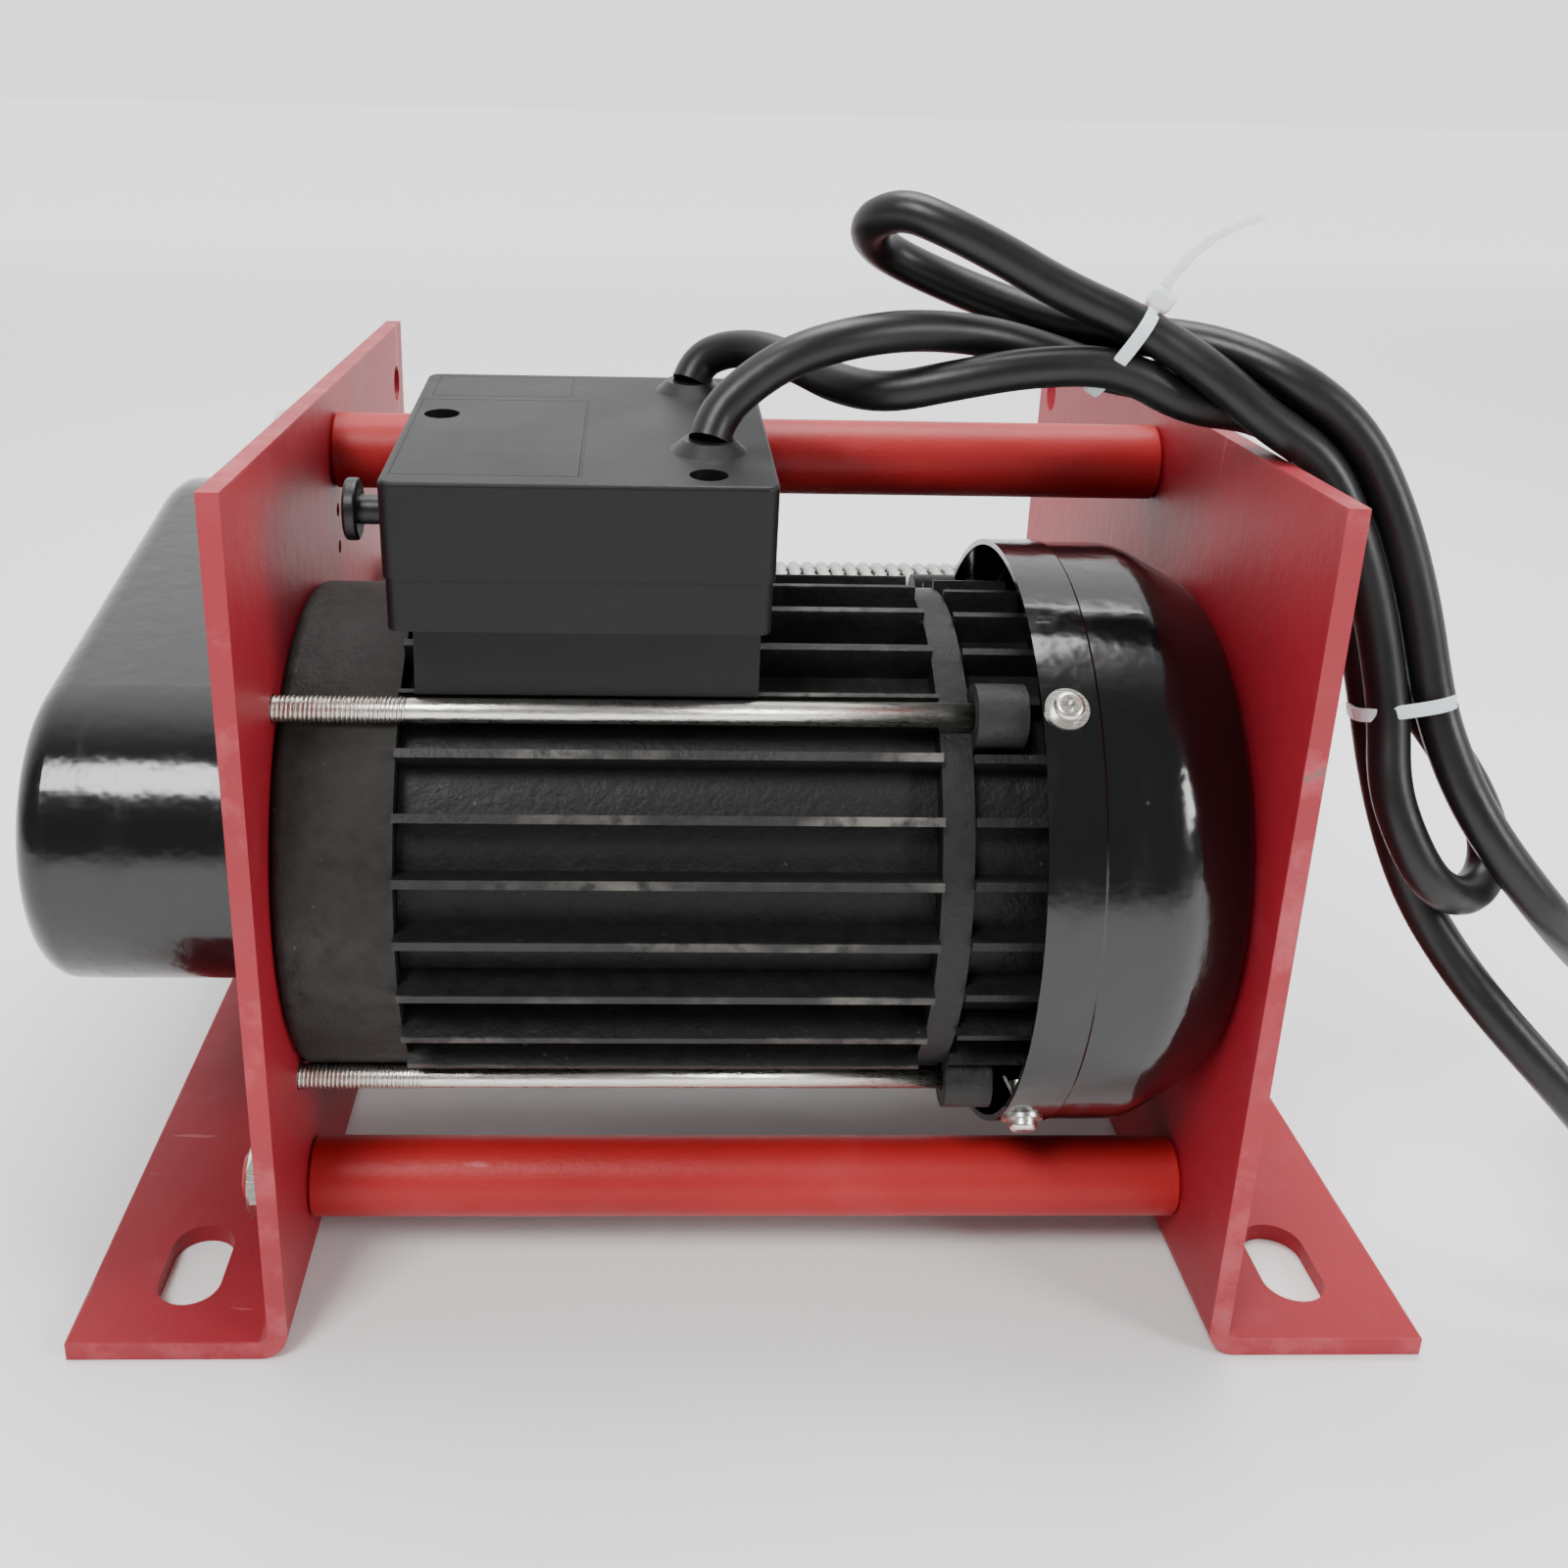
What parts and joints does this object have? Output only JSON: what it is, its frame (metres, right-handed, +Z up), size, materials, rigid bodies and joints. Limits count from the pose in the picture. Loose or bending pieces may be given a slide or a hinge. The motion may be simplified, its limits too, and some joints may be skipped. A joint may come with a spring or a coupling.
{
  "type": "electric wire-rope winch",
  "caption": "Electric wire-rope winch: finned motor and geared rope drum between two footed side plates, with control box, cords and pendant.",
  "frame": {"origin": "on the floor plane under the feet, midway between the side plates and midway along their depth", "axes": "+X across the winch from the gear cover to the fan end, +Y to the back where the drum is, +Z up"},
  "size_m": [0.654, 0.2521, 0.2574],
  "materials": {
    "painted_red": "matte crimson paint, worn at edges",
    "zinc_steel": "bright zinc plate",
    "black_cast_aluminium": "black paint over cast aluminium, rubbed at the fin edges",
    "dark_end_cover": "dull dark paint on a turned casting",
    "gloss_black_sheet": "gloss black paint on pressed steel",
    "machined_steel": "machined",
    "bronze": "sintered bronze",
    "lamination_steel": "stacked laminations",
    "copper": "varnished copper",
    "wire_rope": "galvanized strands",
    "drum_steel": "turned steel",
    "box_plastic": "fine-textured moulding",
    "black_rubber": "smooth cable sheath",
    "tie_nylon": "translucent natural nylon",
    "pin_brass": "nickel plated",
    "pendant_plastic": "moulded",
    "button_plastic": "moulded",
    "stop_red": "moulded"
  },
  "bodies": {
    "frame": {"left_side_plate": "painted_red", "right_side_plate": "painted_red", "upper_tie_rod": "painted_red", "front_tie_rod": "painted_red", "rear_tie_rod": "painted_red", "tie_rod_nuts": "zinc_steel", "fan_cover_screws": "zinc_steel", "gear_cover_screws": "zinc_steel", "motor_through_bolts": "zinc_steel", "control_box_screws": "zinc_steel", "pendant_screws": "zinc_steel", "gearbox_posts": "zinc_steel", "stator_housing": "black_cast_aluminium", "fan_end_bracket": "black_cast_aluminium", "drive_end_cover": "dark_end_cover", "fan_cover": "gloss_black_sheet", "gear_cover": "gloss_black_sheet", "motor_bearings": "machined_steel", "gearbox_bearing_plate": "machined_steel", "layshaft_bushes": "bronze", "drum_bushes": "bronze", "stator_core": "lamination_steel", "stator_windings": "copper", "terminal_neck": "box_plastic", "control_box_lid": "box_plastic", "control_box_base": "box_plastic", "limit_switch": "box_plastic", "run_capacitor": "box_plastic", "terminal_block": "box_plastic", "cable_grommets": "black_rubber", "mains_lead": "black_rubber", "mains_lead_tail": "black_rubber", "mains_lead_coil": "black_rubber", "control_cable": "black_rubber", "control_cable_tail": "black_rubber", "control_cable_coil": "black_rubber", "pendant_gland": "black_rubber", "mains_plug": "black_rubber", "bundle_ties": "tie_nylon", "coil_ties": "tie_nylon", "plug_pins": "pin_brass", "pendant_front_shell": "pendant_plastic", "pendant_back_shell": "pendant_plastic"},
    "rotor": {"motor_shaft": "machined_steel", "rotor_core": "lamination_steel", "cooling_fan": "box_plastic", "motor_pinion": "machined_steel"},
    "layshaft": {"layshaft": "machined_steel", "layshaft_gear": "machined_steel", "layshaft_pinion": "machined_steel"},
    "drum": {"rope_drum": "drum_steel", "drum_shaft": "machined_steel", "wire_rope": "wire_rope", "drum_gear": "machined_steel", "rope_clamp": "zinc_steel"},
    "plunger": {"limit_plunger": "black_rubber"},
    "up_key": {"up_button": "button_plastic"},
    "down_key": {"down_button": "button_plastic"},
    "stop_key": {"emergency_stop": "stop_red"}
  },
  "joints": [
    {"name": "rotor_spin", "type": "hinge", "parent": "frame", "child": "rotor", "pos_m": [0, -0.0487, 0.103], "axis": [1, 0, 0], "continuous": true},
    {"name": "layshaft_spin", "type": "hinge", "parent": "frame", "child": "layshaft", "pos_m": [0, -0.0007, 0.103], "axis": [1, 0, 0], "continuous": true},
    {"name": "drum_spin", "type": "hinge", "parent": "frame", "child": "drum", "pos_m": [0, 0.0613, 0.103], "axis": [1, 0, 0], "continuous": true},
    {"name": "limit_press", "type": "slide", "parent": "frame", "child": "plunger", "axis": [1, 0, 0], "range_m": [0, 0.004], "stiffness_N_per_m": 600, "springref_m": -0.001},
    {"name": "up_press", "type": "slide", "parent": "frame", "child": "up_key", "axis": [0, 0, -1], "range_m": [0, 0.003], "stiffness_N_per_m": 700, "springref_m": -0.001},
    {"name": "down_press", "type": "slide", "parent": "frame", "child": "down_key", "axis": [0, 0, -1], "range_m": [0, 0.003], "stiffness_N_per_m": 700, "springref_m": -0.001},
    {"name": "stop_press", "type": "slide", "parent": "frame", "child": "stop_key", "axis": [0, 0, -1], "range_m": [0, 0.004]}
  ],
  "couplings": [
    {"joint": "layshaft_spin", "follows": "rotor_spin", "ratio": -0.23077},
    {"joint": "drum_spin", "follows": "rotor_spin", "ratio": 0.055385}
  ]
}
